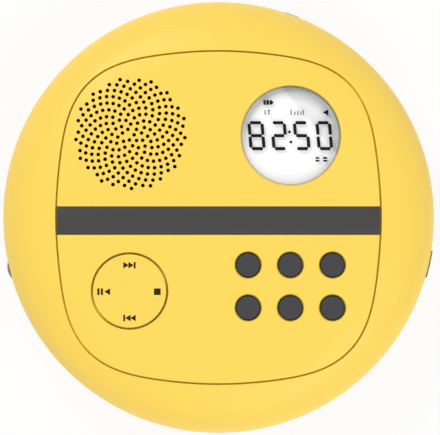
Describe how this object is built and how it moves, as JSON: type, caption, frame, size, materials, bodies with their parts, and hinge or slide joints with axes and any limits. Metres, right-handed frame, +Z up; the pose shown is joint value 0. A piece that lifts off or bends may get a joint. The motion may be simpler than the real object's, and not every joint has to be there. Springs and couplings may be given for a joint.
{
  "type": "portable disc player",
  "caption": "Round portable disc player with a hinged lid, speaker, round display, rocking pad, push keys and a geared disc drive under a shallow well.",
  "frame": {"origin": "centre of the bounding box at the height of the surface that the feet stand on", "axes": "+Z up through the lid, +Y to the hinged side of the lid, -Y to the side that faces the user, +X to the user's right"},
  "size_m": [0.1674, 0.1674, 0.0425],
  "materials": {
    "yellow_shell": "warm yellow moulded plastic, fine satin grain",
    "dark_plastic": "dark moulded plastic, matt",
    "grey_plastic": "charcoal moulded plastic, satin",
    "clear_window": "clear polished window",
    "display_white": "white display panel",
    "plated_steel": "plated pressed steel",
    "cast_alloy": "cast light alloy",
    "rubber": "black moulded rubber",
    "board_green": "green lacquered circuit board",
    "gear_nylon": "natural white nylon",
    "cone_paper": "black pressed paper",
    "cell_wrap": "blue shrink film",
    "lens_glass": "coated lens glass"
  },
  "bodies": {
    "base": {"lower_shell": "yellow_shell", "upper_ring": "yellow_shell", "well_deck": "dark_plastic", "volume_pot": "grey_plastic", "headphone_jack": "grey_plastic", "main_board": "board_green", "chassis_plate": "plated_steel", "spindle_motor": "plated_steel", "feed_motor": "plated_steel", "guide_rod_left": "plated_steel", "guide_rod_right": "plated_steel", "hinge_pin_left": "plated_steel", "hinge_pin_right": "plated_steel", "battery_cell": "cell_wrap", "power_socket": "plated_steel", "foot_1": "rubber", "case_screw_1": "plated_steel", "foot_2": "rubber", "case_screw_2": "plated_steel", "foot_3": "rubber", "case_screw_3": "plated_steel", "foot_4": "rubber", "case_screw_4": "plated_steel", "damper_1": "rubber", "damper_2": "rubber", "damper_3": "rubber"},
    "spindle": {"turntable_hub": "grey_plastic"},
    "sled": {"pickup_sled": "cast_alloy", "pickup_lens": "lens_glass"},
    "feed_gear": {"step_gear": "gear_nylon"},
    "feed_pinion_body": {"feed_pinion": "gear_nylon"},
    "volume": {"volume_wheel": "grey_plastic"},
    "release": {"release_button": "grey_plastic"},
    "lid": {"lid_shell": "yellow_shell", "lid_cover": "dark_plastic", "band_strip": "grey_plastic", "display_lens": "clear_window", "display_panel": "display_white", "display_holder": "grey_plastic", "speaker_frame": "plated_steel", "speaker_cone": "cone_paper", "speaker_magnet": "plated_steel", "key_board": "board_green", "key_mat": "rubber", "lid_screw_1": "plated_steel", "lid_screw_2": "plated_steel", "lid_screw_3": "plated_steel", "lid_screw_4": "plated_steel"},
    "pad_rocker": {"pad_pillar": "rubber"},
    "pad": {"control_pad": "yellow_shell"},
    "key_1": {"button_1": "grey_plastic"},
    "key_2": {"button_2": "grey_plastic"},
    "key_3": {"button_3": "grey_plastic"},
    "key_4": {"button_4": "grey_plastic"},
    "key_5": {"button_5": "grey_plastic"},
    "key_6": {"button_6": "grey_plastic"}
  },
  "joints": [
    {"name": "lid_hinge", "type": "hinge", "parent": "base", "child": "lid", "pos_m": [0, 0.0709, 0.03385], "axis": [-1, 0, 0], "range_deg": [0, 75]},
    {"name": "key_1_press", "type": "slide", "parent": "lid", "child": "key_1", "axis": [0, 0, -1], "range_m": [0, 0.0008], "stiffness_N_per_m": 1500, "springref_m": -0.0003},
    {"name": "key_2_press", "type": "slide", "parent": "lid", "child": "key_2", "axis": [0, 0, -1], "range_m": [0, 0.0008], "stiffness_N_per_m": 1500, "springref_m": -0.0003},
    {"name": "key_3_press", "type": "slide", "parent": "lid", "child": "key_3", "axis": [0, 0, -1], "range_m": [0, 0.0008], "stiffness_N_per_m": 1500, "springref_m": -0.0003},
    {"name": "key_4_press", "type": "slide", "parent": "lid", "child": "key_4", "axis": [0, 0, -1], "range_m": [0, 0.0008], "stiffness_N_per_m": 1500, "springref_m": -0.0003},
    {"name": "key_5_press", "type": "slide", "parent": "lid", "child": "key_5", "axis": [0, 0, -1], "range_m": [0, 0.0008], "stiffness_N_per_m": 1500, "springref_m": -0.0003},
    {"name": "key_6_press", "type": "slide", "parent": "lid", "child": "key_6", "axis": [0, 0, -1], "range_m": [0, 0.0008], "stiffness_N_per_m": 1500, "springref_m": -0.0003},
    {"name": "pad_tilt_x", "type": "hinge", "parent": "lid", "child": "pad_rocker", "pos_m": [-0.0345, -0.0285, 0.0349], "axis": [1, 0, 0], "range_deg": [-3, 3], "stiffness_Nm_per_rad": 0.25},
    {"name": "pad_tilt_y", "type": "hinge", "parent": "pad_rocker", "child": "pad", "pos_m": [-0.0345, -0.0285, 0.0349], "axis": [0, 1, 0], "range_deg": [-3, 3], "stiffness_Nm_per_rad": 0.25},
    {"name": "spindle_turn", "type": "hinge", "parent": "base", "child": "spindle", "pos_m": [0, 0, 0.0233], "axis": [0, 0, 1], "continuous": true},
    {"name": "sled_slide", "type": "slide", "parent": "base", "child": "sled", "axis": [0, -1, 0], "range_m": [0, 0.033]},
    {"name": "step_gear_turn", "type": "hinge", "parent": "base", "child": "feed_gear", "pos_m": [0.0275, -0.034, 0.0146], "axis": [0, 0, 1], "range_deg": [0, 631]},
    {"name": "feed_pinion_turn", "type": "hinge", "parent": "base", "child": "feed_pinion_body", "pos_m": [0.03375, -0.02318, 0.0146], "axis": [0, 0, 1], "range_deg": [-2522, 0]},
    {"name": "volume_turn", "type": "hinge", "parent": "base", "child": "volume", "pos_m": [-0.07513, -0.01901, 0.0206], "axis": [0, 0, 1], "range_deg": [-135, 135]},
    {"name": "release_slide", "type": "slide", "parent": "base", "child": "release", "axis": [-1, 0, 0], "range_m": [0, 0.002], "stiffness_N_per_m": 400, "springref_m": -0.002}
  ],
  "couplings": [
    {"joint": "step_gear_turn", "follows": "sled_slide", "rad_per_m": 333.33},
    {"joint": "feed_pinion_turn", "follows": "sled_slide", "rad_per_m": -1333.3}
  ]
}
